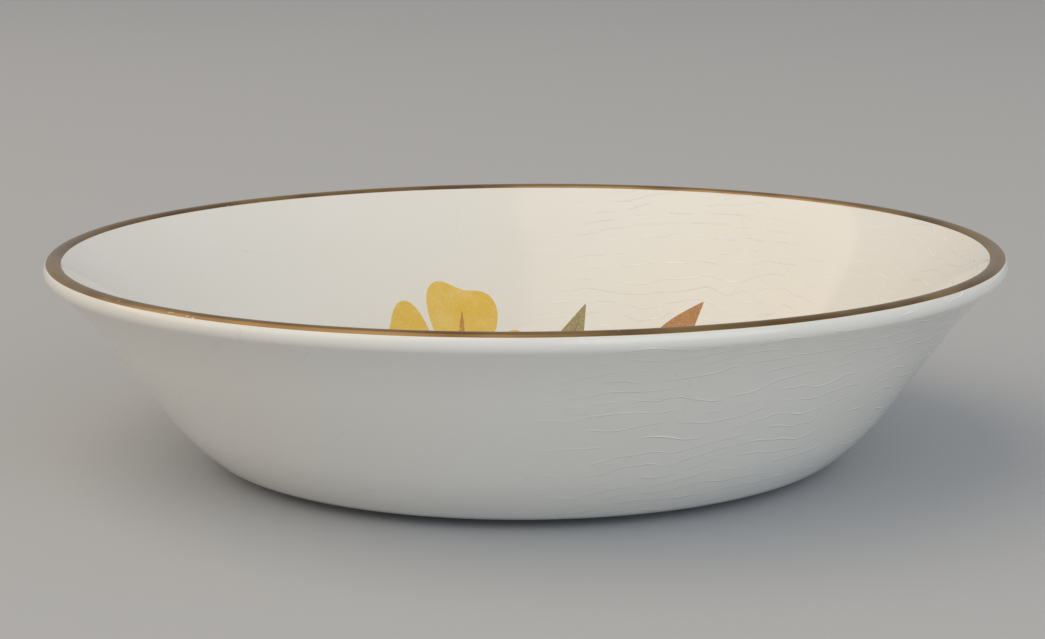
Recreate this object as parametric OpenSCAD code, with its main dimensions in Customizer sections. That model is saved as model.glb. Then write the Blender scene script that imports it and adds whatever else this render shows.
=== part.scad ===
// Small round china dish for rings, with a foot ring, a glaze coat, a gilded lip
// and a printed spray of flowers in the well.
// The axis of the dish is Z, the table is z = 0 and the far side of the spray is +Y.
// The printed and gilded layers are thin skins laid on the glaze.

/* [Dish] */
// Outer diameter over the lip
rim_d = 105; // [85:1:140]
// Height from the table to the top of the glazed lip
dish_h = 23.2; // [19:0.1:32]
// Thickness of the wall, glaze included
wall_t = 2.2; // [1.6:0.1:3]
// Thickness of the floor, glaze included
floor_t = 2.4; // [1.8:0.1:4]
// Slope of the straight part of the wall, in degrees from the table
wall_angle = 53.3; // [48:0.1:60]

/* [Curves of the wall] */
// Radius of the outward curve under the lip, on its hollow side
flare_r = 37; // [15:1:60]
// Degrees that the wall turns outward through that curve
flare_turn = 12; // [4:1:16]
// Radius of the tight curve from the underside into the wall
heel_r = 4; // [2:0.5:8]
// Degrees that the tight curve turns
heel_turn = 39; // [20:1:45]
// Radius of the longer curve between the tight one and the straight wall
belly_r = 29; // [12:1:36]
// Radius inside, where the floor runs into the wall
well_fillet_r = 10; // [5:1:16]

/* [Foot ring] */
// Distance from the start of the heel curve in to the foot ring
foot_inset = 4.9; // [1:0.1:8]
// Width of the foot ring
foot_w = 2.6; // [1.6:0.1:4]
// Height of the foot ring below the underside
foot_h = 0.8; // [0.7:0.1:1.5]
// Radius of the hollow where the ring runs into the underside
foot_root_r = 0.35; // [0.2:0.05:0.4]
// Height of the bare edge that the glaze leaves free
bare_h = 0.3; // [0.2:0.05:0.35]
// Size of the wiped bevel on the bare edge
bare_bevel = 0.2; // [0.1:0.05:0.3]

/* [Glaze and gold] */
// Thickness of the glaze coat
glaze_t = 0.15; // [0.1:0.01:0.3]
// Thickness of the gold line
gold_t = 0.05; // [0.04:0.01:0.1]
// Width of the gold line, across the lip
gold_w = 1.6; // [0.8:0.1:1.8]
// Distance from the outermost point of the lip to the gold line
gold_inset = 0.3; // [0.15:0.05:0.4]

/* [Printed spray] */
// Thickness of the fired colours
print_t = 0.05; // [0.04:0.01:0.1]
// Length of a petal of the large flower
large_petal = 10.5; // [7:0.5:12]
// Length of a petal of the middle flower
middle_petal = 8.5; // [6:0.5:10]
// Length of a petal of the small flower
small_petal = 7; // [5:0.5:8]
// Width of a petal as a share of its length
petal_slim = 0.86; // [0.6:0.02:0.9]
// Depth of the notch in a petal's tip
petal_notch = 0.9; // [0.2:0.1:1.2]
// Radius of the round eye of a flower
eye_r = 1.3; // [1:0.1:1.6]
// Radius of one stamen dot
stamen_r = 0.28; // [0.2:0.01:0.32]
// Stamen dots around one eye
stamens = 9; // [7:1:11]
// Width of a stem where it leaves the foot of the spray
stem_w = 0.7; // [0.4:0.05:1]
// Width of the middle vein of a leaf
vein_w = 0.4; // [0.25:0.05:0.5]

/* [Hidden] */
$fn = 240;

// Unit vector square to a surface whose outline runs at heading t, away from the clay
function out(t) = [sin(t), -cos(t)];

// Centres and ends of the arcs, worked from the lip down
lip_r = wall_t/2;
lip_heading = wall_angle - flare_turn;
lip_c = [rim_d/2 - lip_r, dish_h - lip_r];
flare_c = lip_c + (flare_r + lip_r)*out(lip_heading);
wall_top = flare_c - flare_r*out(wall_angle);
belly_top_z = foot_h + heel_r*(1 - cos(heel_turn)) + belly_r*(cos(heel_turn) - cos(wall_angle));
wall_foot = [wall_top.x - (wall_top.y - belly_top_z)/tan(wall_angle), belly_top_z];
belly_c = wall_foot - belly_r*out(wall_angle);
heel_c = belly_c + (belly_r - heel_r)*out(heel_turn);
floor_z = foot_h + floor_t;
well_line = wall_foot - (wall_t + well_fillet_r)*out(wall_angle);
well_c_z = floor_z + well_fillet_r;
well_c = [well_line.x + (well_c_z - well_line.y)/tan(wall_angle), well_c_z];
well_r = well_c.x;

// Foot ring
foot_r = heel_c.x - foot_inset;
foot_in_r = foot_r - foot_w;
foot_out_c = [foot_r + foot_root_r, foot_h - foot_root_r];
foot_in_c = [foot_in_r - foot_root_r, foot_h - foot_root_r];
mid_floor_z = foot_h + floor_t/2;

// Gold line
gold_out_r = rim_d/2 - gold_inset;
gold_in_r = gold_out_r - gold_w;

// Spray: places are shares of the radius of the flat floor, so that it fits any dish
function on_floor(p) = well_r*p;

// Point and heading along a bend from a towards b to c
function bend(a, b, c, s) = (1 - s)*(1 - s)*a + 2*s*(1 - s)*b + s*s*c;
function bend_dir(a, b, c, s) = (1 - s)*(b - a) + s*(c - b);
function on_stem(line, s) = bend(line[0], line[1], line[2], s);
function side(v) = [-v.y, v.x]/norm(v);

// Each flower: place, petal length, turn in degrees
flowers = [
    [on_floor([-0.27, 1.02]), large_petal, 18],
    [on_floor([0.42, 0.42]), middle_petal, 40],
    [on_floor([-0.42, 0.24]), small_petal, 5]
];
petals = 5;
shade_start = eye_r + 1.8;
shade_w = 1;
stamen_ring_r = eye_r + 0.95;

// Each closed bud: place of its base, heading in degrees, length, width
buds = [
    [on_floor([0.9, 0.02]), 62, 7, 4],
    [on_floor([-0.9, -0.08]), 112, 6.5, 3.8]
];

// Each stem: where it starts, the point that it bends towards, where it ends, its width
spray_foot = on_floor([0.1, -0.88]);
twig_w = 0.7*stem_w;
main_stems = [
    [spray_foot, on_floor([0.08, 0.1]), flowers[0][0], stem_w],
    [spray_foot, on_floor([0.44, -0.3]), flowers[1][0], stem_w],
    [spray_foot, on_floor([-0.3, -0.4]), flowers[2][0], stem_w]
];
twigs = [
    [on_stem(main_stems[1], 0.38), on_floor([0.78, -0.42]), buds[0][0], twig_w],
    [on_stem(main_stems[2], 0.34), on_floor([-0.76, -0.5]), buds[1][0], twig_w],
    [on_stem(main_stems[0], 0.74), on_floor([0.12, 0.82]), on_floor([0.42, 1.0]), twig_w]
];
stem_lines = concat(main_stems, twigs);

// Each leaf: base, heading in degrees, length, width
leaves = [
    [flowers[0][0] + large_petal*[0.86, -0.14], 56, 12, 4.4],
    [flowers[0][0] + large_petal*[-0.48, -0.67], 206, 11.5, 4.2],
    [on_stem(main_stems[1], 0.6), 14, 10.5, 4.4],
    [on_stem(main_stems[2], 0.62), 164, 10, 4.2],
    [on_stem(main_stems[0], 0.46), 132, 8, 3.4],
    [on_stem(main_stems[0], 0.52), 64, 6.5, 2.8]
];
russet_leaves = [
    [twigs[2][2], 22, 10.5, 4.6],
    [flowers[1][0] + middle_petal*[0.82, -0.06], 6, 10, 4],
    [on_stem(main_stems[1], 0.18), 28, 9, 3.8],
    [on_stem(main_stems[2], 0.18), 146, 9, 3.8],
    [on_stem(twigs[0], 0.55), 334, 6.5, 2.8],
    [on_stem(twigs[1], 0.5), 205, 6.5, 2.8]
];

// The sliver between an arc about c and its chord, for outline headings t0 to t1
module bow(c, r, t0, t1) {
    p = c + r*out(t0);
    q = c + r*out(t1);
    away = r*out((t0 + t1)/2);
    intersection() {
        translate(c)
            circle(r);
        polygon([p, q, q + away, p + away]);
    }
}

// Half cross-section of the dish without its foot, a depth d inside the finished surface
module wall_section(d) {
    difference() {
        union() {
            polygon([
                [0, foot_h + d],
                heel_c + (heel_r - d)*out(0),
                heel_c + (heel_r - d)*out(heel_turn),
                belly_c + (belly_r - d)*out(wall_angle),
                flare_c - (flare_r + d)*out(wall_angle),
                lip_c + (lip_r - d)*out(lip_heading),
                lip_c - (lip_r - d)*out(lip_heading),
                flare_c - (flare_r + wall_t - d)*out(wall_angle),
                well_c + (well_fillet_r + d)*out(wall_angle),
                well_c + (well_fillet_r + d)*out(0),
                [0, floor_z - d]
            ]);
            bow(heel_c, heel_r - d, 0, heel_turn);
            bow(belly_c, belly_r - d, heel_turn, wall_angle);
            bow(lip_c, lip_r - d, lip_heading, lip_heading + 180);
            bow(flare_c, flare_r + wall_t - d, lip_heading + 180, wall_angle + 180);
        }
        bow(flare_c, flare_r + d, lip_heading + 180, wall_angle + 180);
        bow(well_c, well_fillet_r + d, 0, wall_angle);
    }
}

// Half cross-section of the foot ring, a depth d inside its glaze, down to height low
module foot_section(d, low, bevel) {
    outer = foot_r - d;
    inner = foot_in_r + d;
    difference() {
        polygon([
            [outer, low + bevel],
            [outer, foot_out_c.y],
            [foot_out_c.x, foot_h + d],
            [foot_out_c.x, mid_floor_z],
            [foot_in_c.x, mid_floor_z],
            [foot_in_c.x, foot_h + d],
            [inner, foot_in_c.y],
            [inner, low + bevel],
            [inner + bevel, low],
            [outer - bevel, low]
        ]);
        bow(foot_out_c, foot_root_r + d, 180, 270);
        bow(foot_in_c, foot_root_r + d, 90, 180);
    }
}

// The whole clay piece in half cross-section
module clay_section() {
    wall_section(glaze_t);
    foot_section(glaze_t, 0, bare_bevel);
}

// The glaze coat in half cross-section, with the edge of the foot ring left bare
module glaze_section() {
    difference() {
        union() {
            wall_section(0);
            foot_section(0, bare_h, 0);
        }
        clay_section();
    }
}

// Half cross-section of the space under the dish inside the foot ring
module recess_section() {
    square([(foot_r + foot_in_r)/2, mid_floor_z]);
}

// A skin of thickness h laid on the floor, fillet and straight wall of the well, in half cross-section
module well_skin(h) {
    reach = 2*well_fillet_r;
    wall_end = flare_c - (flare_r + wall_t)*out(wall_angle);
    translate([0, floor_z])
        square([well_r, h]);
    intersection() {
        difference() {
            translate(well_c)
                circle(well_fillet_r);
            translate(well_c)
                circle(well_fillet_r - h);
        }
        polygon([
            well_c,
            well_c + reach*out(0),
            well_c + reach*out(wall_angle/2),
            well_c + reach*out(wall_angle)
        ]);
    }
    polygon([
        well_c + well_fillet_r*out(wall_angle),
        wall_end,
        wall_end - h*out(wall_angle),
        well_c + (well_fillet_r - h)*out(wall_angle)
    ]);
}

// A thin skin on the glaze of the well, kept only over the plan shape given as its child
module printed() {
    intersection() {
        rotate_extrude()
            well_skin(print_t);
        translate([0, 0, mid_floor_z])
            linear_extrude(dish_h)
                children();
    }
}

// One petal in plan, from the eye at the origin out along X, broad and lightly notched at its tip
module petal(len) {
    fullness = 0.77*petal_slim*len;
    polygon([
        for (t = [0:15:345])
            [
                len*(1 - cos(t))/2 - petal_notch*pow(max(0, -cos(t)), 14),
                fullness*sin(t)*pow(sin(t/2), 2)
            ]
    ]);
}

// A blade pointed at both ends, from the origin out along X, broadest before its middle
module blade(len, wid) {
    steps = 10;
    shares = [for (i = [0:steps]) i/steps];
    upper = [for (s = shares) [len*s, wid/2*sin(180*pow(s, 0.85))]];
    lower = [for (i = [steps - 1:-1:1]) [upper[i].x, -upper[i].y]];
    polygon(concat(upper, lower));
}

// Puts its child at each place in a list of [place, heading, ...]
module at_leaf(leaf) {
    translate(leaf[0])
        rotate(leaf[1])
            children();
}

module petal_shapes() {
    for (f = flowers)
        translate(f[0])
            for (i = [0:petals - 1])
                rotate(f[2] + i*360/petals)
                    petal(f[1]);
}

module shading_shapes() {
    for (f = flowers)
        translate(f[0])
            for (i = [0:petals - 1])
                rotate(f[2] + i*360/petals)
                    translate([shade_start, 0])
                        blade(0.75*f[1] - shade_start, shade_w);
}

module eye_shapes() {
    for (f = flowers)
        translate(f[0])
            circle(eye_r);
}

module stamen_shapes() {
    for (f = flowers)
        translate(f[0])
            for (i = [0:stamens - 1])
                rotate(f[2] + i*360/stamens)
                    translate([stamen_ring_r, 0])
                        circle(stamen_r);
}

module bud_shapes() {
    for (b = buds)
        at_leaf(b)
            blade(b[2], b[3]);
}

module flower_shapes() {
    petal_shapes();
    eye_shapes();
    stamen_shapes();
}

module leaf_shapes(list) {
    for (leaf = list)
        at_leaf(leaf)
            blade(leaf[2], leaf[3]);
}

// Veins in plan, each from a little before the base of its leaf
module vein_shapes(list) {
    for (leaf = list)
        at_leaf(leaf)
            translate([-0.1*leaf[2], 0])
                blade(0.92*leaf[2], vein_w);
}

// One stem, tapered from its start to its end
module stem_shape(line) {
    steps = 14;
    a = line[0];
    b = line[1];
    c = line[2];
    half = [for (i = [0:steps]) line[3]/2*(1 - 0.45*i/steps)];
    left = [for (i = [0:steps]) bend(a, b, c, i/steps) + half[i]*side(bend_dir(a, b, c, i/steps))];
    right = [for (i = [steps:-1:0]) bend(a, b, c, i/steps) - half[i]*side(bend_dir(a, b, c, i/steps))];
    polygon(concat(left, right));
}

module stem_shapes() {
    for (line = stem_lines)
        stem_shape(line);
}

module china_body() {
    color("ivory")
        rotate_extrude()
            clay_section();
}

module bowl_glaze() {
    color("white")
        rotate_extrude()
            difference() {
                glaze_section();
                recess_section();
            }
}

module base_glaze() {
    color("whitesmoke")
        rotate_extrude()
            intersection() {
                glaze_section();
                recess_section();
            }
}

module gold_lip_line() {
    color("darkgoldenrod")
        rotate_extrude()
            intersection() {
                difference() {
                    translate(lip_c)
                        circle(lip_r + gold_t);
                    translate(lip_c)
                        circle(lip_r);
                }
                translate([gold_in_r, lip_c.y])
                    square([gold_w, lip_r + 1]);
            }
}

module print_petals() {
    color("khaki")
        printed()
            difference() {
                union() {
                    petal_shapes();
                    bud_shapes();
                }
                eye_shapes();
                stamen_shapes();
                shading_shapes();
            }
}

module print_petal_shading() {
    color("goldenrod")
        printed()
            shading_shapes();
}

module print_flower_eyes() {
    color("saddlebrown")
        printed()
            eye_shapes();
}

module print_stamens() {
    color("sienna")
        printed()
            stamen_shapes();
}

module print_leaves() {
    color("tan")
        printed()
            difference() {
                leaf_shapes(leaves);
                vein_shapes(leaves);
                flower_shapes();
            }
}

module print_russet_leaves() {
    color("peru")
        printed()
            difference() {
                leaf_shapes(russet_leaves);
                vein_shapes(russet_leaves);
                flower_shapes();
            }
}

module print_leaf_veins() {
    color("brown")
        printed()
            difference() {
                intersection() {
                    union() {
                        vein_shapes(leaves);
                        vein_shapes(russet_leaves);
                    }
                    union() {
                        leaf_shapes(leaves);
                        leaf_shapes(russet_leaves);
                    }
                }
                flower_shapes();
            }
}

module print_stems() {
    color("rosybrown")
        printed()
            difference() {
                stem_shapes();
                flower_shapes();
                bud_shapes();
                leaf_shapes(leaves);
                leaf_shapes(russet_leaves);
            }
}

china_body();
bowl_glaze();
base_glaze();
gold_lip_line();
print_petals();
print_petal_shading();
print_flower_eyes();
print_stamens();
print_leaves();
print_russet_leaves();
print_leaf_veins();
print_stems();
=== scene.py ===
# %% [markdown]
# # A gilded china ring dish
# The dish is one piece of fired china with thin layers on it: a glaze, a gold line on the lip, and a flower
# spray printed in several colours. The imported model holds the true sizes, so it is loaded first and never
# changed. Each layer is then made again as a fine mesh in the same place, with the finish of the real one.

# %% Load the frame
import math

import bmesh
import bpy
from mathutils import Matrix, Vector, noise


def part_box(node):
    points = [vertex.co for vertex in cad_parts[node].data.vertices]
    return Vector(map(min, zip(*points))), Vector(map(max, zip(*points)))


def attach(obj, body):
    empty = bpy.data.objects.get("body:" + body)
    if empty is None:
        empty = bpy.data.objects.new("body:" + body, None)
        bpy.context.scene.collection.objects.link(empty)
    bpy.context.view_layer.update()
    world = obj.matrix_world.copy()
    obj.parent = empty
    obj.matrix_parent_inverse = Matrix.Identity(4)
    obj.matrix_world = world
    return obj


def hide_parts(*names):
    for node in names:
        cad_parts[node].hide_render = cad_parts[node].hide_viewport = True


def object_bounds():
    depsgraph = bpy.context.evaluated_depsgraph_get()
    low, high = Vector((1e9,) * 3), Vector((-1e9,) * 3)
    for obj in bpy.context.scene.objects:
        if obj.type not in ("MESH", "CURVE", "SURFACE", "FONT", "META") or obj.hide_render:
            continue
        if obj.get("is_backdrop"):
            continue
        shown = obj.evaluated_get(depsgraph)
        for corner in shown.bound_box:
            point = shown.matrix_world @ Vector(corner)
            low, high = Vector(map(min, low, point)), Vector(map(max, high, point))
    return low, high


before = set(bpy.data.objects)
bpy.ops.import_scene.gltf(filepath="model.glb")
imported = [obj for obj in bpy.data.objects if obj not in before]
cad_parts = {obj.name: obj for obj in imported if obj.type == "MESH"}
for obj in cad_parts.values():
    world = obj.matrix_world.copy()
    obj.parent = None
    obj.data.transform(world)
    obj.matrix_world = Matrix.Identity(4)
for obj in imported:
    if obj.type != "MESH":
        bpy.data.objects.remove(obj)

cad_low, cad_high = [Vector(corner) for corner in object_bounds()]
print("packed model, mm:", [round(1000*v, 2) for v in cad_high - cad_low])

# %% [markdown]
# ## The outline of the dish
# A dish like this is pressed on a turning wheel, so its whole shape is one outline swept round an axis.
# The outline is tangent arcs and straight stretches, the same ones as in the construction. Sizes are in
# metres. Headings are in degrees: 0 runs outward along the table and 90 straight up.

# %% Driving sizes
MM = 0.001
gold_t = 0.05*MM
rim_r = round(cad_high.x, 4)
dish_h = round(cad_high.z - gold_t, 4)
wall_t = 2.2*MM
floor_t = 2.4*MM
wall_angle = 53.3
flare_r, flare_turn = 37*MM, 12
heel_r, heel_turn = 4*MM, 39
belly_r = 29*MM
well_fillet_r = 10*MM
foot_inset, foot_w, foot_h, foot_root_r = 4.9*MM, 2.6*MM, 0.8*MM, 0.35*MM
bare_h, bare_bevel = 0.3*MM, 0.2*MM
glaze_t = 0.15*MM
print("rim radius and height, mm:", rim_r/MM, dish_h/MM)


# %% Centres of the arcs
def out(heading):
    """Unit vector square to an outline that runs at this heading, away from the clay."""
    angle = math.radians(heading)
    return Vector((math.sin(angle), -math.cos(angle)))


def cosine(degrees):
    return math.cos(math.radians(degrees))


wall_slope = math.tan(math.radians(wall_angle))
lip_r = wall_t/2
lip_heading = wall_angle - flare_turn
lip_c = Vector((rim_r - lip_r, dish_h - lip_r))
flare_c = lip_c + (flare_r + lip_r)*out(lip_heading)
wall_top = flare_c - flare_r*out(wall_angle)
belly_rise = belly_r*(cosine(heel_turn) - cosine(wall_angle))
belly_top_z = foot_h + heel_r*(1 - cosine(heel_turn)) + belly_rise
wall_foot = Vector((wall_top.x - (wall_top.y - belly_top_z)/wall_slope, belly_top_z))
belly_c = wall_foot - belly_r*out(wall_angle)
heel_c = belly_c + (belly_r - heel_r)*out(heel_turn)
floor_z = foot_h + floor_t
well_line = wall_foot - (wall_t + well_fillet_r)*out(wall_angle)
well_c_z = floor_z + well_fillet_r
well_c = Vector((well_line.x + (well_c_z - well_line.y)/wall_slope, well_c_z))
well_r = well_c.x
foot_r = heel_c.x - foot_inset
foot_in_r = foot_r - foot_w
foot_out_c = Vector((foot_r + foot_root_r, foot_h - foot_root_r))
foot_in_c = Vector((foot_in_r - foot_root_r, foot_h - foot_root_r))
print("flat floor radius, mm:", round(well_r/MM, 2), " foot ring radius, mm:", round(foot_r/MM, 2))


# %% Stretches of the outline
ROOT_STEPS, HEEL_STEPS, BELLY_STEPS, FLARE_STEPS, ROUND_STEPS = 6, 16, 12, 14, 28


def arc(centre, radius, start, end, steps):
    """Points round a centre between two headings; a negative radius gives a hollow curve."""
    return [centre + radius*out(start + (end - start)*i/steps) for i in range(steps + 1)]


def outside(depth):
    """From the foot ring's root, out and up to the lip, a depth inside the finished surface."""
    return (
        arc(foot_out_c, foot_root_r + depth, 270, 180, ROOT_STEPS)
        + arc(heel_c, heel_r - depth, 0, heel_turn, HEEL_STEPS)
        + arc(belly_c, belly_r - depth, heel_turn, wall_angle, BELLY_STEPS)
        + arc(flare_c, -(flare_r + depth), wall_angle, lip_heading, FLARE_STEPS)
    )


def lip(depth):
    return arc(lip_c, lip_r - depth, lip_heading, lip_heading + 180, ROUND_STEPS)


def inside(depth):
    """From the lip down the inner wall and along the floor to the axis."""
    return (
        arc(flare_c, -(flare_r + wall_t - depth), lip_heading, wall_angle, FLARE_STEPS)
        + arc(well_c, well_fillet_r + depth, wall_angle, 0, ROUND_STEPS)
        + [Vector((0, floor_z - depth))]
    )


def recess(depth):
    """From the axis under the floor out to the inner root of the foot ring."""
    return [Vector((0, foot_h + depth))] + arc(foot_in_c, foot_root_r + depth, 180, 90, ROOT_STEPS)


# %% [markdown]
# ## Turning an outline
# A lathe in code gives rings of vertices joined by quads. A point on the axis becomes one vertex, so that no
# face is pinched. Edges sharper than a set angle are marked sharp, and all others shade smooth, which keeps
# the soft heel soft and the bevel of the foot crisp. The outline may change with the angle, for hand work.

# %% Lathe
AROUND = 288
SHARP_ANGLE = math.radians(38)
TINY = 1e-7


def without_repeats(points):
    kept = [points[0]]
    for point in points[1:]:
        if (point - kept[-1]).length > TINY:
            kept.append(point)
    return kept


def finish_mesh(bm, name):
    """Turn the working mesh into an object with even normals and smooth shading."""
    bmesh.ops.recalc_face_normals(bm, faces=bm.faces)
    for face in bm.faces:
        face.smooth = True
    for edge in bm.edges:
        edge.smooth = edge.calc_face_angle(0) < SHARP_ANGLE
    mesh = bpy.data.meshes.new(name)
    bm.to_mesh(mesh)
    bm.free()
    piece = bpy.data.objects.new(name, mesh)
    bpy.context.scene.collection.objects.link(piece)
    print(name, "has", len(mesh.vertices), "vertices and", len(mesh.polygons), "faces")
    return piece


def lathe(name, outline_at, closed, around=AROUND):
    """Sweep the outline that outline_at(angle) gives; closed joins its last point to its first."""
    bm = bmesh.new()
    angles = [2*math.pi*i/around for i in range(around)]
    outlines = [outline_at(angle) for angle in angles]
    rings = []
    for k, point in enumerate(outlines[0]):
        if point.x < TINY:
            rings.append([bm.verts.new((0, 0, point.y))])
            continue
        rings.append([
            bm.verts.new((line[k].x*math.cos(a), line[k].x*math.sin(a), line[k].y))
            for line, a in zip(outlines, angles)
        ])
    pairs = list(zip(rings, rings[1:]))
    if closed:
        pairs.append((rings[-1], rings[0]))
    for low, high in pairs:
        if len(low) == len(high) == 1:
            continue
        for i in range(around):
            j = (i + 1) % around
            corners = [low[i % len(low)], low[j % len(low)], high[j % len(high)], high[i % len(high)]]
            bm.faces.new(list(dict.fromkeys(corners)))
    return finish_mesh(bm, name)


def place(piece, node, material):
    """Give a piece its material, hide the part of the model it stands for, and hang it under the root."""
    piece.data.materials.append(material)
    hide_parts(node)
    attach(piece, "root")


# %% [markdown]
# ## Shader building blocks
# Every finish is built from nodes, so it has detail at any distance and needs no picture. A few helpers keep
# the node code short: each makes one node, links what it is given, and hands back the output.

# %% Node helpers
def feed(tree, socket, value):
    """Link a socket to another socket, or set its own value."""
    if isinstance(value, bpy.types.NodeSocket):
        tree.links.new(value, socket)
    elif isinstance(value, tuple) and len(value) == 3 and socket.type == "RGBA":
        socket.default_value = (*value, 1)
    else:
        socket.default_value = value


def maths(tree, operation, a, b=0.0):
    node = tree.nodes.new("ShaderNodeMath")
    node.operation = operation
    feed(tree, node.inputs[0], a)
    feed(tree, node.inputs[1], b)
    return node.outputs[0]


def smooth_step(tree, value, low, high):
    """0 below low, 1 above high, with a soft passage between them."""
    node = tree.nodes.new("ShaderNodeMapRange")
    node.interpolation_type = "SMOOTHSTEP"
    for socket, given in zip(node.inputs, (value, low, high, 0.0, 1.0)):
        feed(tree, socket, given)
    return node.outputs[0]


def spread(tree, value, low, high):
    """Carry a value from 0 to 1 over to the range low to high."""
    node = tree.nodes.new("ShaderNodeMapRange")
    for socket, given in zip(node.inputs, (value, 0.0, 1.0, low, high)):
        feed(tree, socket, given)
    return node.outputs[0]


def mix(tree, factor, a, b, blend="MIX"):
    node = tree.nodes.new("ShaderNodeMix")
    node.data_type = "RGBA"
    node.blend_type = blend
    feed(tree, node.inputs[0], factor)
    feed(tree, node.inputs[6], a)
    feed(tree, node.inputs[7], b)
    return node.outputs[2]


def stretch(tree, vector, factors):
    node = tree.nodes.new("ShaderNodeVectorMath")
    node.operation = "MULTIPLY"
    feed(tree, node.inputs[0], vector)
    feed(tree, node.inputs[1], factors)
    return node.outputs[0]


def cloud(tree, vector, scale, detail=2.0):
    """Soft noise about 0.5; scale is in features per metre."""
    node = tree.nodes.new("ShaderNodeTexNoise")
    feed(tree, node.inputs["Vector"], vector)
    feed(tree, node.inputs["Scale"], scale)
    feed(tree, node.inputs["Detail"], detail)
    return node.outputs[0]


def swayed(tree, vector, scale, reach):
    """A place shifted by soft noise, so that straight marks made from it bend."""
    sway = tree.nodes.new("ShaderNodeTexNoise")
    feed(tree, sway.inputs["Vector"], vector)
    feed(tree, sway.inputs["Scale"], scale)
    node = tree.nodes.new("ShaderNodeVectorMath")
    node.operation = "MULTIPLY_ADD"
    feed(tree, node.inputs[0], sway.outputs["Color"])
    feed(tree, node.inputs[1], (reach, reach, reach))
    feed(tree, node.inputs[2], vector)
    return node.outputs[0]


def split(tree, vector):
    node = tree.nodes.new("ShaderNodeSeparateXYZ")
    feed(tree, node.inputs[0], vector)
    return node.outputs


OUTWARD_SHARE, UPWARD_SHARE = 0.75, 0.66


def along_outline(tree, place_xyz):
    """A value that grows with the distance along the outline, on walls and floors alike."""
    x, y, z = split(tree, place_xyz)
    squares = maths(tree, "ADD", maths(tree, "MULTIPLY", x, x), maths(tree, "MULTIPLY", y, y))
    radius = maths(tree, "SQRT", squares)
    outward = maths(tree, "MULTIPLY", radius, OUTWARD_SHARE)
    return maths(tree, "ADD", outward, maths(tree, "MULTIPLY", z, UPWARD_SHARE))


# %% New groups and materials
SOCKETS = {"v": "NodeSocketVector", "f": "NodeSocketFloat", "c": "NodeSocketColor"}


def new_group(name, inputs, outputs):
    """A node group whose sockets are given as {"Name": kind}; returns its tree and its two end nodes."""
    tree = bpy.data.node_groups.new(name, "ShaderNodeTree")
    for direction, sockets in (("INPUT", inputs), ("OUTPUT", outputs)):
        for socket_name, kind in sockets.items():
            tree.interface.new_socket(name=socket_name, in_out=direction, socket_type=SOCKETS[kind])
    return tree, tree.nodes.new("NodeGroupInput").outputs, tree.nodes.new("NodeGroupOutput").inputs


def use_group(tree, group, **values):
    node = tree.nodes.new("ShaderNodeGroup")
    node.node_tree = group
    for name, value in values.items():
        feed(tree, node.inputs[name.replace("_", " ")], value)
    return node.outputs


def new_material(name, roughness):
    material = bpy.data.materials.new(name)
    material.use_nodes = True
    tree = material.node_tree
    tree.nodes.clear()
    output = tree.nodes.new("ShaderNodeOutputMaterial")
    shader = tree.nodes.new("ShaderNodeBsdfPrincipled")
    shader.inputs["Roughness"].default_value = roughness
    tree.links.new(shader.outputs[0], output.inputs["Surface"])
    return material, tree, shader.inputs


def own_place(tree):
    return tree.nodes.new("ShaderNodeTexCoord").outputs["Object"]


def bump(tree, height, distance, normal=None):
    node = tree.nodes.new("ShaderNodeBump")
    feed(tree, node.inputs["Height"], height)
    feed(tree, node.inputs["Distance"], distance)
    if normal is not None:
        feed(tree, node.inputs["Normal"], normal)
    return node.outputs[0]


# %% [markdown]
# ## Crazing
# Old glaze shrinks more than the clay and cracks into fine curved lines that run mostly round the dish. They
# are thinner than a hair, so they are shader work, not mesh. A line is drawn wherever the distance along the
# outline, bent by noise, passes a whole number of gaps. A second noise breaks the lines up, and a third
# keeps them to patches, because crazing never covers a dish evenly. The few open hairlines that cross them
# follow the edges of cells whose places are bent by noise, since a straight crack would look like a scratch.

# %% Crazing group
BEND_SCALE, BEND_GAPS = 95.0, 3.4
BREAK_SCALE, BREAK_STRETCH, BREAK_SOFT = 260.0, (1.0, 1.0, 2.5), (0.4, 0.5)
PATCH_SCALE, PATCH_FULL = 38.0, 0.56
HAIRLINE_SCALE, HAIRLINE_HALF = 88.0, 0.006
SWAY_SCALE, SWAY = 170.0, 7*MM
RARE_SCALE, RARE_SOFT = 120.0, (0.56, 0.66)


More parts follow.
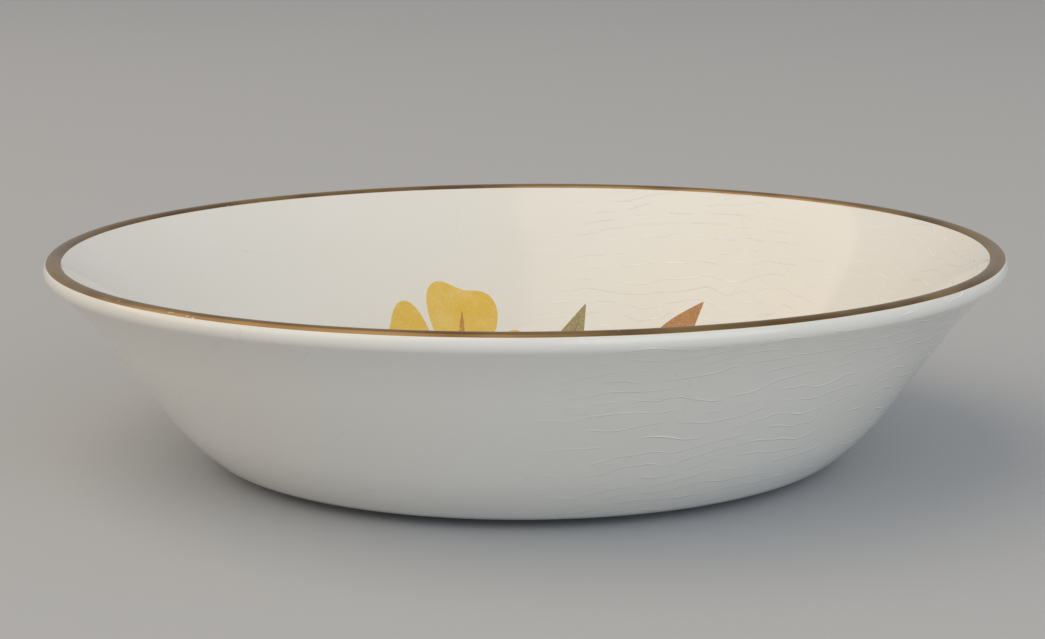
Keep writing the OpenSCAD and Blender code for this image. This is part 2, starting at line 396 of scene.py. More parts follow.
def build_crazing():
    inputs = {"Place": "v", "Gap": "f", "Tilt": "f", "Width": "f", "Patchiness": "f"}
    tree, given, result = new_group("fine_crazing", inputs, {"Line": "f", "Hairline": "f"})
    position = given["Place"]
    bent = maths(tree, "MULTIPLY", cloud(tree, position, BEND_SCALE), BEND_GAPS)
    leaning = maths(tree, "MULTIPLY", split(tree, position)[0], given["Tilt"])
    run = maths(tree, "ADD", along_outline(tree, position), leaning)
    count = maths(tree, "ADD", maths(tree, "DIVIDE", run, given["Gap"]), bent)
    off_line = maths(tree, "ABSOLUTE", maths(tree, "SUBTRACT", maths(tree, "FRACT", count), 0.5))
    line = maths(tree, "SUBTRACT", 1.0, smooth_step(tree, off_line, 0.0, given["Width"]))
    breaks = cloud(tree, stretch(tree, position, BREAK_STRETCH), BREAK_SCALE, 1.0)
    broken = smooth_step(tree, breaks, *BREAK_SOFT)
    patch = smooth_step(tree, cloud(tree, position, PATCH_SCALE, 1.0), given["Patchiness"], PATCH_FULL)
    kept = maths(tree, "MULTIPLY", broken, patch)
    feed(tree, result["Line"], maths(tree, "MULTIPLY", line, kept))
    crack = tree.nodes.new("ShaderNodeTexVoronoi")
    crack.feature = "DISTANCE_TO_EDGE"
    feed(tree, crack.inputs["Vector"], swayed(tree, position, SWAY_SCALE, SWAY))
    feed(tree, crack.inputs["Scale"], HAIRLINE_SCALE)
    away = smooth_step(tree, crack.outputs["Distance"], 0.0, HAIRLINE_HALF)
    near = maths(tree, "SUBTRACT", 1.0, away)
    rare = smooth_step(tree, cloud(tree, position, RARE_SCALE, 1.0), *RARE_SOFT)
    feed(tree, result["Hairline"], maths(tree, "MULTIPLY", near, rare))
    return tree


crazing = build_crazing()
print("group", crazing.name, "has", len(crazing.nodes), "nodes")

# %% [markdown]
# ## Glaze mottle
# No glaze is one flat white. It pools a little warmer and thinner from place to place, and a kiln leaves a
# few dark specks the size of a grain of pepper. One group gives the tint, the speck mask and a very slow
# wave, which makes reflections wander as they do on fired ware.

# %% Mottle group
DRIFT_SCALE, DRIFT_SOFT = 34.0, (0.35, 0.7)
SPECK_SCALE, SPECK_CHOICE, SPECK_SOFT = 230.0, (0.965, 0.97), (0.02, 0.05)
SPECK_TINT, SPECK_STRENGTH = (0.33, 0.24, 0.16), 0.5
WAVE_SCALE = 70.0
GLOSS_SCALE, GLOSS_RANGE = 420.0, (0.05, 0.15)


def build_mottle():
    inputs = {"Place": "v", "Tint": "c", "Warm Tint": "c"}
    tree, given, result = new_group("glaze_mottle", inputs, {"Colour": "c", "Wave": "f", "Gloss": "f"})
    position = given["Place"]
    drift = smooth_step(tree, cloud(tree, position, DRIFT_SCALE, 3.0), *DRIFT_SOFT)
    tint = mix(tree, drift, given["Tint"], given["Warm Tint"])
    speck = tree.nodes.new("ShaderNodeTexVoronoi")
    feed(tree, speck.inputs["Vector"], position)
    feed(tree, speck.inputs["Scale"], SPECK_SCALE)
    chosen = smooth_step(tree, split(tree, speck.outputs["Color"])[0], *SPECK_CHOICE)
    dot = maths(tree, "SUBTRACT", 1.0, smooth_step(tree, speck.outputs["Distance"], *SPECK_SOFT))
    mark = maths(tree, "MULTIPLY", maths(tree, "MULTIPLY", dot, chosen), SPECK_STRENGTH)
    feed(tree, result["Colour"], mix(tree, mark, tint, SPECK_TINT))
    feed(tree, result["Wave"], cloud(tree, position, WAVE_SCALE, 1.0))
    feed(tree, result["Gloss"], spread(tree, cloud(tree, position, GLOSS_SCALE, 3.0), *GLOSS_RANGE))
    return tree


mottle = build_mottle()
print("group", mottle.name, "has", len(mottle.nodes), "nodes")

# %% [markdown]
# ## The glaze
# China glaze is clear over a white body. It could be made as clear glass over clay, but a coat this thin
# renders as glossy ivory-white, so an opaque glossy surface gives the same look and exports cleanly. Crazed
# lines catch the light, and the few open hairlines have taken up a little dirt.

# %% Glaze material
GLAZE_TINT = (0.85, 0.842, 0.81)
GLAZE_WARM = (0.84, 0.822, 0.77)
# Painted highlight: the crazed lines get the near-white tint below, for the light they catch.
CRAZE_HIGHLIGHT_TINT = (0.97, 0.975, 0.98)
DIRT_TINT, HAIRLINE_DIRT = (0.42, 0.35, 0.28), 0.14
CRAZE_GAP, CRAZE_TILT, CRAZE_WIDTH = 1.7*MM, -0.09, 0.07
CRAZE_FADE = (-4*MM, 12*MM)
CRAZE_H, WAVE_H = 0.055*MM, 0.05*MM


def glaze_material(name, patchiness, line_strength, one_sided):
    """Glossy glaze; one_sided fades the crazing and its painted highlight out towards -X."""
    material, tree, shader = new_material(name, 0.1)
    position = own_place(tree)
    ground = use_group(tree, mottle, Place=position, Tint=GLAZE_TINT, Warm_Tint=GLAZE_WARM)
    cracks = use_group(tree, crazing, Place=position, Gap=CRAZE_GAP, Tilt=CRAZE_TILT, Width=CRAZE_WIDTH,
                       Patchiness=patchiness)
    line = maths(tree, "MULTIPLY", cracks["Line"], line_strength)
    if one_sided:
        side = smooth_step(tree, split(tree, position)[0], *CRAZE_FADE)
        line = maths(tree, "MULTIPLY", line, side)
    # Painted highlight: the crazed lines are mixed towards a near-white tint.
    highlit_crazing = mix(tree, line, ground["Colour"], CRAZE_HIGHLIGHT_TINT)
    hairline = maths(tree, "MULTIPLY", cracks["Hairline"], HAIRLINE_DIRT*line_strength)
    feed(tree, shader["Base Color"], mix(tree, hairline, highlit_crazing, DIRT_TINT))
    feed(tree, shader["Roughness"], ground["Gloss"])
    slow = bump(tree, ground["Wave"], WAVE_H)
    feed(tree, shader["Normal"], bump(tree, line, CRAZE_H, slow))
    return material


bowl_finish = glaze_material("ivory_glaze", patchiness=0.3, line_strength=1.0, one_sided=True)
base_finish = glaze_material("ivory_glaze_base", patchiness=0.5, line_strength=0.5, one_sided=False)

# %% [markdown]
# ## The fired clay
# The clay shows only where the glaze was wiped off so that the dish wouldn't stick to the kiln shelf: the
# narrow edge of the foot ring. It is matt, slightly gritty, and stained where it has stood on tables.

# %% Clay material
CLAY_DARK, CLAY_LIGHT = (0.72, 0.67, 0.58), (0.82, 0.78, 0.71)
CLAY_STAIN, STAIN_STRENGTH = (0.5, 0.36, 0.24), 0.5
CLAY_GRAIN_H = 0.03*MM


def clay_material():
    material, tree, shader = new_material("bare_china", 0.85)
    position = own_place(tree)
    grain = cloud(tree, position, 2600.0, 3.0)
    stain = smooth_step(tree, cloud(tree, position, 210.0, 3.0), 0.45, 0.75)
    ground = mix(tree, grain, CLAY_DARK, CLAY_LIGHT)
    stained = maths(tree, "MULTIPLY", stain, STAIN_STRENGTH)
    feed(tree, shader["Base Color"], mix(tree, stained, ground, CLAY_STAIN))
    feed(tree, shader["Normal"], bump(tree, grain, CLAY_GRAIN_H))
    return material


# %% Clay body
def foot_edge():
    """The bare edge of the foot ring, from its inner side under it to its outer side."""
    inner, outer = foot_in_r + glaze_t, foot_r - glaze_t
    return [
        Vector((inner, bare_bevel)),
        Vector((inner + bare_bevel, 0)),
        Vector((outer - bare_bevel, 0)),
        Vector((outer, bare_bevel)),
    ]


clay_line = without_repeats(recess(glaze_t) + foot_edge() + outside(glaze_t) + lip(glaze_t) + inside(glaze_t))
body = lathe("fired_china_body", lambda angle: clay_line, closed=False)
place(body, "china_body", clay_material())

# %% [markdown]
# ## The glaze coats
# Each coat is a closed shell, as thick as the real one, between the finished surface and the clay. At the
# wiped edge the glaze ends in a small round bead, because it draws itself together as it melts.

# %% Glaze shells
BEAD_STEPS = 4


def bead(edge_r, inward):
    """The rounded end of a coat on the side of the foot ring; inward is -1 on its outer side, 1 inside."""
    return [
        Vector((
            edge_r + inward*glaze_t*(1 - math.cos(math.pi/2*i/BEAD_STEPS)),
            bare_h + glaze_t*(1 - math.sin(math.pi/2*i/BEAD_STEPS)),
        ))
        for i in range(BEAD_STEPS + 1)
    ]


def coat(finished, backing, edge_r, inward):
    """A closed outline: along the finished surface, round the bead, and back along the clay."""
    return without_repeats(finished + bead(edge_r, inward) + backing[::-1])


bowl_surface = (outside(0) + lip(0) + inside(0))[::-1]
bowl_backing = (outside(glaze_t) + lip(glaze_t) + inside(glaze_t))[::-1]
bowl_line = coat(bowl_surface, bowl_backing, foot_r, -1)
bowl = lathe("glazed_bowl", lambda angle: bowl_line, closed=False)
place(bowl, "bowl_glaze", bowl_finish)
base_line = coat(recess(0), recess(glaze_t), foot_in_r, 1)
base = lathe("glazed_base", lambda angle: base_line, closed=False)
place(base, "base_glaze", base_finish)

# %% [markdown]
# ## The gold line
# The line is painted with a brush on the turning dish and fired. Its edges wander a little and its brush
# marks run round the lip. It is darker and duller than new metal, with thin spots where years of wiping have
# let the glaze through. The mesh follows the true curve of the lip; wear is in the shader.

# %% Gold line mesh
GOLD_STEPS = 16
GOLD_EDGE, GOLD_THIN = 0.14, 0.3
GOLD_WANDER = 1.9
GOLD_SEEDS = (1.3, 8.7)
gold_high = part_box("gold_lip_line")[1][0]
gold_half = math.degrees(math.asin(min(1, (round(gold_high, 4) - lip_c.x)/lip_r)))


def on_lip(heading, rise):
    """A point lifted off the lip; past the end of its round it goes on down the inner wall."""
    past = heading - (lip_heading + 180)
    if past <= 0:
        return lip_c + (lip_r + rise)*out(heading)
    inner_r = flare_r + wall_t
    return flare_c - (inner_r + rise)*out(lip_heading + past*lip_r/inner_r)


def wander(angle, seed, reach):
    """Slow and quick drift of a painted edge, the same after one full turn."""
    slow = noise.noise(Vector((1.6*math.cos(angle), 1.6*math.sin(angle), seed)))
    quick = noise.noise(Vector((9*math.cos(angle), 9*math.sin(angle), seed + 5)))
    return reach*(slow + 0.45*quick)


def gold_outline(angle):
    start = 180 - gold_half + wander(angle, GOLD_SEEDS[0], GOLD_WANDER)
    end = 180 + gold_half + wander(angle, GOLD_SEEDS[1], GOLD_WANDER)
    shares = [i/GOLD_STEPS for i in range(GOLD_STEPS + 1)]
    headings = [start + (end - start)*share for share in shares]
    fullness = [min(1, share/GOLD_EDGE, (1 - share)/GOLD_EDGE) for share in shares]
    lifts = [gold_t*(GOLD_THIN + (1 - GOLD_THIN)*full) for full in fullness]
    top = [on_lip(heading, lift) for heading, lift in zip(headings, lifts)]
    return top + [on_lip(heading, 0) for heading in headings[::-1]]


# %% Gold material
GOLD_SHADE, GOLD_BRIGHT = (0.23, 0.14, 0.06), (0.43, 0.285, 0.13)
GOLD_STREAK, STREAK_STRENGTH = (0.16, 0.09, 0.04), 0.5
GOLD_WORN = (0.7, 0.62, 0.5)
BRUSH_STRETCH = (60.0, 60.0, 5200.0)
BRUSH_H = 0.012*MM


def gold_material():
    material, tree, shader = new_material("fired_gold", 0.3)
    position = own_place(tree)
    brush = cloud(tree, stretch(tree, position, BRUSH_STRETCH), 1.0, 3.0)
    tone = cloud(tree, position, 90.0, 3.0)
    ground = mix(tree, smooth_step(tree, tone, 0.35, 0.65), GOLD_SHADE, GOLD_BRIGHT)
    streaked = mix(tree, maths(tree, "MULTIPLY", brush, STREAK_STRENGTH), ground, GOLD_STREAK)
    thin = smooth_step(tree, cloud(tree, position, 1500.0, 4.0), 0.66, 0.74)
    patch = smooth_step(tree, cloud(tree, position, 55.0, 1.0), 0.5, 0.64)
    worn = maths(tree, "MULTIPLY", thin, patch)
    feed(tree, shader["Base Color"], mix(tree, worn, streaked, GOLD_WORN))
    feed(tree, shader["Metallic"], spread(tree, worn, 1.0, 0.1))
    feed(tree, shader["Roughness"], spread(tree, tone, 0.2, 0.42))
    feed(tree, shader["Normal"], bump(tree, brush, BRUSH_H))
    return material


gold = lathe("gold_line", gold_outline, closed=True, around=2*AROUND)
place(gold, "gold_lip_line", gold_material())

# %% [markdown]
# ## Laying colour on the well
# The spray is printed on paper-thin film, laid in the well and fired. Every motif is drawn in plan and
# dropped on to the glaze, on the flat floor or up the curve of the wall. A grid of points over each motif
# makes a closed film of true thickness, and the grid's own rows and columns are kept as a map, so the
# colours can run from the heart of a petal to its tip. Colours printed later stand a hair higher.

# %% Films
FILM_T = 0.05*MM
EDGE_SHARE = 0.35
LAYERS = {name: FILM_T*share for name, share in
          {"stem": 0.5, "leaf": 0.62, "petal": 0.74, "line": 0.87, "dot": 1.0}.items()}


def on_well(plan, rise):
    """The point over a place in plan, lifted off the glaze of the well."""
    radius = max(plan.length, TINY)
    fillet_reach = well_fillet_r*math.sin(math.radians(wall_angle))
    reach = min(max(radius - well_r, 0), fillet_reach)
    angle = math.asin(reach/well_fillet_r)
    height = well_c_z - well_fillet_r*math.cos(angle) + max(radius - well_r - fillet_reach, 0)*wall_slope
    inward = 1 - rise*math.sin(angle)/radius
    return Vector((plan.x*inward, plan.y*inward, height + rise*math.cos(angle)))


def add_film(bm, grid, rise):
    """Add a closed film over a grid of (plan place, (u, v))."""
    uv = bm.loops.layers.uv.verify()
    rows, columns = len(grid), len(grid[0])
    cells = [(i, j) for i in range(rows) for j in range(columns)]
    rim = ([(0, j) for j in range(columns)] + [(i, columns - 1) for i in range(1, rows)]
           + [(rows - 1, j) for j in range(columns - 2, -1, -1)] + [(i, 0) for i in range(rows - 2, 0, -1)])
    edge = set(rim)
    top = {
        (i, j): bm.verts.new(on_well(grid[i][j][0], rise*(EDGE_SHARE if (i, j) in edge else 1)))
        for i, j in cells
    }
    under = {(i, j): bm.verts.new(on_well(grid[i][j][0], 0)) for i, j in cells}
    inner = [(i, j) for i, j in cells if i < rows - 1 and j < columns - 1]
    quads = [[(i, j), (i + 1, j), (i + 1, j + 1), (i, j + 1)] for i, j in inner]
    walls = [[(top, a), (top, b), (under, b), (under, a)] for a, b in zip(rim, rim[1:] + rim[:1])]
    sheets = [[(layer, c) for c in quad] for quad in quads for layer in (top, under)]
    for corners in sheets + walls:
        face = bm.faces.new([layer[c] for layer, c in corners])
        for loop, (layer, (i, j)) in zip(face.loops, corners):
            loop[uv].uv = grid[i][j][1]


def direction(degrees):
    angle = math.radians(degrees)
    return Vector((math.cos(angle), math.sin(angle)))


def steps(low, high, count):
    return [low + (high - low)*i/count for i in range(count + 1)]


# %% [markdown]
# ## The shapes of the spray
# A petal is filled with rays from its base, as real petals are veined. A leaf is a blade pointed at both ends
# and filled with lines across it. A stem is a ribbon along a bend between two points. Round dots have rings.

# %% Petal and blade
PETAL_FULLNESS, PETAL_SLIM = 0.77, 0.86
PETAL_NOTCH, NOTCH_POWER = 0.9*MM, 14
PETAL_RAYS, PETAL_RINGS, PETAL_START = 22, 26, 0.02
SIDE_LIMIT = math.radians(88)
BLADE_TIP, BLADE_BIAS = 0.012, 0.85
BLADE_ROWS, BLADE_COLUMNS = 34, 10


def petal(bm, base, heading, length):
    """A broad petal with a lightly notched tip."""
    ahead, beside = direction(heading), direction(heading + 90)
    grid = []
    for ray in steps(-SIDE_LIMIT, SIDE_LIMIT, PETAL_RAYS):
        half = math.cos(ray)
        near = length*(1 - half)/2
        far = length*(1 + half)/2 - PETAL_NOTCH*half**NOTCH_POWER
        row = []
        for share in steps(PETAL_START, 1, PETAL_RINGS):
            x = near + (far - near)*share
            plan = base + ahead*x + beside*(PETAL_FULLNESS*PETAL_SLIM*x*math.sin(ray))
            row.append((plan, (x/length, 0.5 + 0.5*math.sin(ray))))
        grid.append(row)
    add_film(bm, grid, LAYERS["petal"])


def blade(bm, base, heading, length, width, rise):
    """A blade pointed at both ends, broadest before its middle."""
    ahead, beside = direction(heading), direction(heading + 90)
    grid = []
    for share in steps(BLADE_TIP, 1 - BLADE_TIP, BLADE_ROWS):
        half = width/2*math.sin(math.pi*share**BLADE_BIAS)
        grid.append([
            (base + ahead*(length*share) + beside*(half*across), (share, 0.5 + 0.5*across))
            for across in steps(-1, 1, BLADE_COLUMNS)
        ])
    add_film(bm, grid, rise)


# %% Stem and dot
STEM_ROWS, STEM_COLUMNS, STEM_TAPER = 70, 4, 0.45
DOT_SIDES, DOT_RINGS, DOT_CROWN = 28, 4, 0.12


def bend(line, share):
    """A point along a stem that leaves its start towards its middle point and ends at its end."""
    start, towards, end = line[:3]
    return (1 - share)**2*start + 2*share*(1 - share)*towards + share**2*end


def stem(bm, line):
    """A ribbon that tapers from its start to its end."""
    start, towards, end, width = line
    grid = []
    for share in steps(0, 1, STEM_ROWS):
        course = (1 - share)*(towards - start) + share*(end - towards)
        beside = Vector((-course.y, course.x)).normalized()
        half = width/2*(1 - STEM_TAPER*share)
        middle = bend(line, share)
        grid.append([
            (middle + beside*(half*across), (share, 0.5 + 0.5*across))
            for across in steps(-1, 1, STEM_COLUMNS)
        ])
    add_film(bm, grid, LAYERS["stem"])


def dot(bm, centre, radius):
    """A round dot, highest in its middle."""
    uv = bm.loops.layers.uv.verify()
    spokes = [direction(360*i/DOT_SIDES) for i in range(DOT_SIDES)]
    hub = bm.verts.new(on_well(centre, LAYERS["dot"]))
    foot = bm.verts.new(on_well(centre, 0))
    top = []
    for k in range(1, DOT_RINGS + 1):
        rise = LAYERS["dot"]*(EDGE_SHARE if k == DOT_RINGS else 1 - DOT_CROWN*k/DOT_RINGS)
        top.append([bm.verts.new(on_well(centre + radius*k/DOT_RINGS*spoke, rise)) for spoke in spokes])
    under = [bm.verts.new(on_well(centre + radius*spoke, 0)) for spoke in spokes]
    share = {hub: 0.0, foot: 0.0, **{v: 1.0 for v in under}}
    share.update({v: k/DOT_RINGS for k, ring in enumerate(top, 1) for v in ring})
    loops = top + [under]
    for i in range(DOT_SIDES):
        j = (i + 1) % DOT_SIDES
        faces = [[hub, top[0][i], top[0][j]], [foot, under[j], under[i]]]
        faces += [[low[i], high[i], high[j], low[j]] for low, high in zip(loops, loops[1:])]
        for corners in faces:
            face = bm.faces.new(corners)
            for loop in face.loops:
                loop[uv].uv = (share[loop.vert], 0.5)


# %% [markdown]
# ## The layout of the spray
# Three flowers rise from one foot on bent stems, with two buds and a leafy twig. Places are shares of the
# floor's radius, as in the construction, and leaves and twigs are tied to the stems that carry them.

# %% Layout
def on_floor(x, y):
    return well_r*Vector((x, y))


LARGE, MIDDLE, SMALL = 10.5*MM, 8.5*MM, 7*MM
STEM_W, VEIN_W, EYE_R, STAMEN_R = 0.7*MM, 0.4*MM, 1.3*MM, 0.28*MM
PETALS, STAMENS = 5, 9
flowers = [
    (on_floor(-0.27, 1.02), LARGE, 18),
    (on_floor(0.42, 0.42), MIDDLE, 40),
    (on_floor(-0.42, 0.24), SMALL, 5),
]
buds = [
    (on_floor(0.9, 0.02), 62, 7*MM, 4*MM),
    (on_floor(-0.9, -0.08), 112, 6.5*MM, 3.8*MM),
]
spray_foot = on_floor(0.1, -0.88)
twig_w = 0.7*STEM_W
main_stems = [
    (spray_foot, on_floor(0.08, 0.1), flowers[0][0], STEM_W),
    (spray_foot, on_floor(0.44, -0.3), flowers[1][0], STEM_W),
    (spray_foot, on_floor(-0.3, -0.4), flowers[2][0], STEM_W),
]
twigs = [
    (bend(main_stems[1], 0.38), on_floor(0.78, -0.42), buds[0][0], twig_w),
    (bend(main_stems[2], 0.34), on_floor(-0.76, -0.5), buds[1][0], twig_w),
    (bend(main_stems[0], 0.74), on_floor(0.12, 0.82), on_floor(0.42, 1.0), twig_w),
]
leaves = [
    (flowers[0][0] + LARGE*Vector((0.86, -0.14)), 56, 12*MM, 4.4*MM),
    (flowers[0][0] + LARGE*Vector((-0.48, -0.67)), 206, 11.5*MM, 4.2*MM),
    (bend(main_stems[1], 0.6), 14, 10.5*MM, 4.4*MM),
    (bend(main_stems[2], 0.62), 164, 10*MM, 4.2*MM),
    (bend(main_stems[0], 0.46), 132, 8*MM, 3.4*MM),
    (bend(main_stems[0], 0.52), 64, 6.5*MM, 2.8*MM),
]
russet_leaves = [
    (twigs[2][2], 22, 10.5*MM, 4.6*MM),
    (flowers[1][0] + MIDDLE*Vector((0.82, -0.06)), 6, 10*MM, 4*MM),
    (bend(main_stems[1], 0.18), 28, 9*MM, 3.8*MM),
    (bend(main_stems[2], 0.18), 146, 9*MM, 3.8*MM),
    (bend(twigs[0], 0.55), 334, 6.5*MM, 2.8*MM),
    (bend(twigs[1], 0.5), 205, 6.5*MM, 2.8*MM),
]
print(len(flowers), "flowers,", len(leaves) + len(russet_leaves), "leaves,", len(main_stems + twigs), "stems")

# %% [markdown]
# ## Printed colour
# A fired print is made of tiny dots of colour under a shine. Tones run from a deep base to a pale tip, with
# fine streaks along the motif, a slightly heavier outline, and a grain that lets the glaze through. All the
# colours share this, so it is one group, and each material only names its three tones.

# %% Print group
STREAK_STRETCH = (1.6, 15.0, 1.0)
WASH_STRENGTH, OUTLINE_STRENGTH, BARE_STRENGTH = 0.35, 0.4, 0.3
PRINT_ROUGHNESS, PRINT_GRAIN_H = 0.16, 0.004*MM


def build_print():
    inputs = {"Place": "v", "Map": "v", "Deep": "c", "Mid": "c", "Pale": "c", "Streaks": "f"}
    tree, given, result = new_group("printed_colour", inputs, {"Colour": "c", "Grain": "f"})
    along, across, _ = split(tree, given["Map"])
    tone = mix(tree, smooth_step(tree, along, 0.08, 0.42), given["Deep"], given["Mid"])
    tone = mix(tree, smooth_step(tree, along, 0.5, 1.0), tone, given["Pale"])
    streak = cloud(tree, stretch(tree, given["Map"], STREAK_STRETCH), 1.0, 3.0)
    streak_amount = maths(tree, "MULTIPLY", smooth_step(tree, streak, 0.48, 0.68), given["Streaks"])
    tone = mix(tree, streak_amount, tone, given["Deep"])
    wash = smooth_step(tree, cloud(tree, given["Place"], 330.0, 2.0), 0.4, 0.75)
    tone = mix(tree, maths(tree, "MULTIPLY", wash, WASH_STRENGTH), tone, given["Pale"])
    from_middle = maths(tree, "ABSOLUTE", maths(tree, "SUBTRACT", across, 0.5))
    outline = maths(tree, "MULTIPLY", smooth_step(tree, from_middle, 0.44, 0.5), OUTLINE_STRENGTH)
    tone = mix(tree, outline, tone, given["Deep"])
    grain = cloud(tree, given["Place"], 5200.0, 1.0)
    bare = maths(tree, "MULTIPLY", smooth_step(tree, grain, 0.55, 0.75), BARE_STRENGTH)
    feed(tree, result["Colour"], mix(tree, bare, tone, GLAZE_TINT))
    feed(tree, result["Grain"], grain)
    return tree


printed_colour = build_print()
print("group", printed_colour.name, "has", len(printed_colour.nodes), "nodes")


def print_material(name, deep, mid, pale, streaks):
    material, tree, shader = new_material(name, PRINT_ROUGHNESS)
    plan_map = tree.nodes.new("ShaderNodeUVMap")
    plan_map.uv_map = "UVMap"
    tones = use_group(tree, printed_colour, Place=own_place(tree), Map=plan_map.outputs[0],
                      Deep=deep, Mid=mid, Pale=pale, Streaks=streaks)
    feed(tree, shader["Base Color"], tones["Colour"])
    feed(tree, shader["Normal"], bump(tree, tones["Grain"], PRINT_GRAIN_H))
    return material


# %% Draw each colour
SHADE_START, SHADE_REACH, SHADE_W = EYE_R + 1.8*MM, 0.75, 1*MM
STAMEN_RING = EYE_R + 0.95*MM
VEIN_REACH, VEIN_RISE = 0.82, LAYERS["leaf"]*1.08
COVERED_SHARE = 0.3
covered_bases = [leaves[0][0], leaves[1][0], russet_leaves[1][0]]


def draw_petals(bm):
    for centre, length, turn in flowers:
        for i in range(PETALS):
            petal(bm, centre, turn + 360*i/PETALS, length)
    for base_place, heading, length, width in buds:
        blade(bm, base_place, heading, length, width, LAYERS["petal"])


def draw_shading(bm):
    for centre, length, turn in flowers:
        for i in range(PETALS):
            heading = turn + 360*i/PETALS
            base_place = centre + SHADE_START*direction(heading)
            blade(bm, base_place, heading, SHADE_REACH*length - SHADE_START, SHADE_W, LAYERS["line"])


def draw_eyes(bm):
    for centre, _, _ in flowers:
        dot(bm, centre, EYE_R)


def draw_stamens(bm):
    for centre, _, turn in flowers:
        for i in range(STAMENS):
            dot(bm, centre + STAMEN_RING*direction(turn + 360*i/STAMENS), STAMEN_R)


def leaf_drawer(group):
    def draw(bm):
        for base_place, heading, length, width in group:
            blade(bm, base_place, heading, length, width, LAYERS["leaf"])
    return draw


def draw_veins(bm):
    """A vein in each leaf; where a petal covers a leaf's base, the vein starts past it."""
    for base_place, heading, length, _ in leaves + russet_leaves:
        if base_place in covered_bases:
            base_place = base_place + COVERED_SHARE*length*direction(heading)
            length = (1 - COVERED_SHARE)*length
        blade(bm, base_place, heading, VEIN_REACH*length, VEIN_W, VEIN_RISE)


def draw_stems(bm):
    for line in main_stems + twigs:
        stem(bm, line)


# %% Tones and printing
YELLOW = ((0.8, 0.53, 0.08), (0.92, 0.78, 0.2), (0.93, 0.86, 0.46))
OCHRE = ((0.52, 0.27, 0.05), (0.66, 0.4, 0.09), (0.78, 0.55, 0.17))
BROWN = ((0.2, 0.09, 0.03), (0.3, 0.155, 0.05), (0.42, 0.24, 0.09))
SIENNA = ((0.36, 0.14, 0.03), (0.47, 0.2, 0.05), (0.55, 0.28, 0.09))
TAN_GREEN = ((0.3, 0.25, 0.09), (0.46, 0.39, 0.17), (0.6, 0.52, 0.28))
RUSSET = ((0.42, 0.19, 0.05), (0.66, 0.36, 0.1), (0.78, 0.52, 0.2))
UMBER = ((0.2, 0.1, 0.04), (0.27, 0.15, 0.06), (0.36, 0.21, 0.1))
STEM_TAN = ((0.3, 0.21, 0.09), (0.4, 0.29, 0.13), (0.5, 0.38, 0.19))
prints = [
    ("stems_print", "print_stems", "stem_colour", STEM_TAN, 0.3, draw_stems),
    ("leaves_print", "print_leaves", "tan_green_colour", TAN_GREEN, 0.5, leaf_drawer(leaves)),
    ("russet_leaves_print", "print_russet_leaves", "russet_colour", RUSSET, 0.5, leaf_drawer(russet_leaves)),
    ("leaf_veins_print", "print_leaf_veins", "umber_colour", UMBER, 0.2, draw_veins),
    ("petals_print", "print_petals", "yellow_colour", YELLOW, 0.45, draw_petals),
    ("petal_shading_print", "print_petal_shading", "ochre_colour", OCHRE, 0.4, draw_shading),
    ("stamens_print", "print_stamens", "sienna_colour", SIENNA, 0.1, draw_stamens),
    ("flower_eyes_print", "print_flower_eyes", "brown_colour", BROWN, 0.2, draw_eyes),
]
for name, node, slot, tones, streaks, draw in prints:
    working = bmesh.new()
    draw(working)
    place(finish_mesh(working, name), node, print_material(slot, *tones, streaks))

# %% [markdown]
# ## Stage and light
# The dish stands on a plain pale floor. A soft warm lamp high on the left lights the inside of the far wall,
# and a soft cool one low on the right lights the outside, so the ivory of the well and the whiter outside
# part as they do in daylight beside a lamp. The levels are low enough that the glaze never clips to white.

# %% Floor
FLOOR_R = 5.0
FLOOR_DROP = 0.01*MM
FLOOR_TONES = (0.48, 0.495, 0.52), (0.5, 0.515, 0.54)


def floor_material():
    material, tree, shader = new_material("pale_floor", 0.9)
    tone = cloud(tree, own_place(tree), 3.0, 2.0)
    feed(tree, shader["Base Color"], mix(tree, tone, *FLOOR_TONES))
    return material


floor_line = [Vector((0, -FLOOR_DROP)), Vector((1.0, -FLOOR_DROP)), Vector((FLOOR_R, -FLOOR_DROP))]
floor = lathe("studio_floor", lambda angle: floor_line, closed=False, around=96)
floor.data.materials.append(floor_material())
floor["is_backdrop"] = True

# %% Lamps and world
AIM = Vector((0, 0, dish_h/2))
ROOM_COLOUR, ROOM_LEVEL = (1.0, 0.99, 0.975, 1), 0.46


def soft_lamp(name, position, colour, watts, size):
    lamp = bpy.data.lights.new(name, "AREA")
    lamp.shape = "DISK"
    lamp.color = colour
    lamp.energy = watts
    lamp.size = size
    holder = bpy.data.objects.new(name, lamp)
    holder.location = position
    holder.rotation_euler = (Vector(position) - AIM).to_track_quat("Z", "Y").to_euler()
    bpy.context.scene.collection.objects.link(holder)


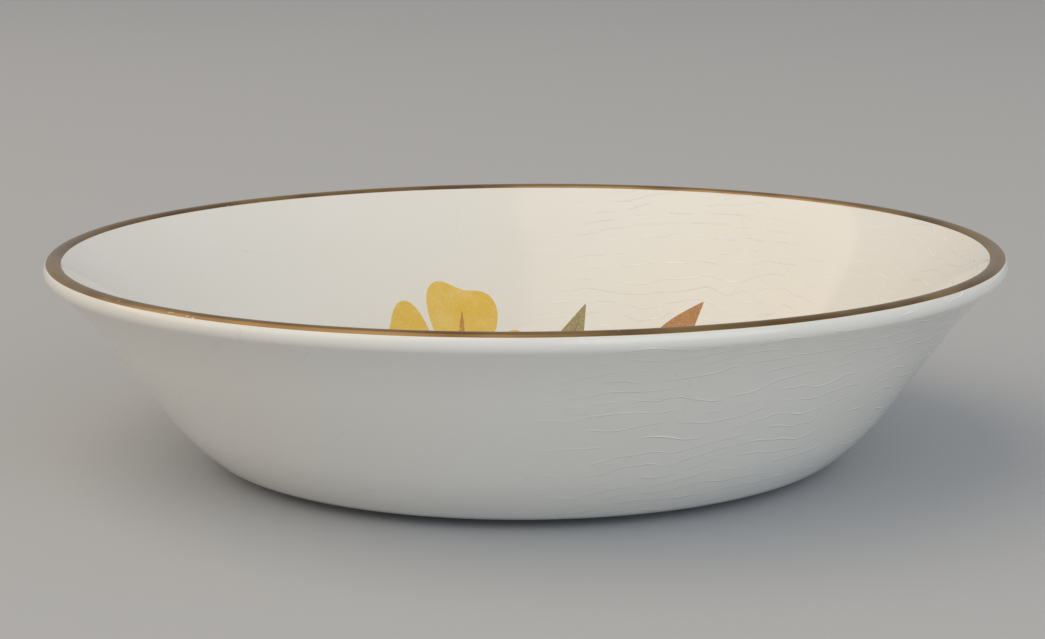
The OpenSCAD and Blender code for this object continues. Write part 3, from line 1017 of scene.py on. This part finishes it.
soft_lamp("warm_lamp", (-0.7, -0.15, 0.85), (1.0, 0.82, 0.6), watts=8.0, size=1.9)
soft_lamp("cool_lamp", (0.5, -0.75, 0.3), (0.8, 0.91, 1.0), watts=3.0, size=0.9)
world = bpy.data.worlds.new("soft_room")
world.use_nodes = True
sky = next(node for node in world.node_tree.nodes if node.type == "BACKGROUND")
sky.inputs["Color"].default_value = ROOM_COLOUR
sky.inputs["Strength"].default_value = ROOM_LEVEL
bpy.context.scene.world = world
bpy.context.scene.view_settings.view_transform = "Standard"
print("lamps:", [lamp.name for lamp in bpy.data.lights])

# %% [markdown]
# ## Camera
# The view is the photograph's: about a quarter of a metre from the dish and ten and a half degrees above it,
# with the slight lean of a camera held in the hand. The lens comes from the size of the dish in the frame.

# %% Camera
FRAME_W = 1045
SENSOR = 36.0
FOCAL_PX = 2517
DISTANCE = 280*MM
ELEVATION = math.radians(10.56)
LEAN = math.radians(-0.35)
AIM_Z = 14.8*MM
OFF_CENTRE_PX = 3.3
YAW = math.atan(OFF_CENTRE_PX/FOCAL_PX)

ahead = Vector((-math.sin(YAW)*math.cos(ELEVATION), math.cos(YAW)*math.cos(ELEVATION), -math.sin(ELEVATION)))
right = ahead.cross(Vector((0, 0, 1))).normalized()
up = right.cross(ahead)
right_leaned = math.cos(LEAN)*right + math.sin(LEAN)*up
up_leaned = math.cos(LEAN)*up - math.sin(LEAN)*right
eye = Vector((0, -DISTANCE*math.cos(ELEVATION), AIM_Z + DISTANCE*math.sin(ELEVATION)))
lens = bpy.data.cameras.new("view")
lens.sensor_width = SENSOR
lens.lens = FOCAL_PX/FRAME_W*SENSOR
lens.clip_start = 0.01
camera = bpy.data.objects.new("view", lens)
camera.matrix_world = Matrix((right_leaned, up_leaned, -ahead)).transposed().to_4x4()
camera.location = eye
bpy.context.scene.collection.objects.link(camera)
bpy.context.scene.camera = camera
print("lens, mm:", round(lens.lens, 1))

# %% Print the boxes of the model and of the scene
boxes = {
    "cad": [list(cad_low), list(cad_high)],
    "visual": [[float(v) for v in corner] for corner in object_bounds()],
}
for name, box in boxes.items():
    print(name, "box, mm:", [[round(v/MM, 2) for v in corner] for corner in box])
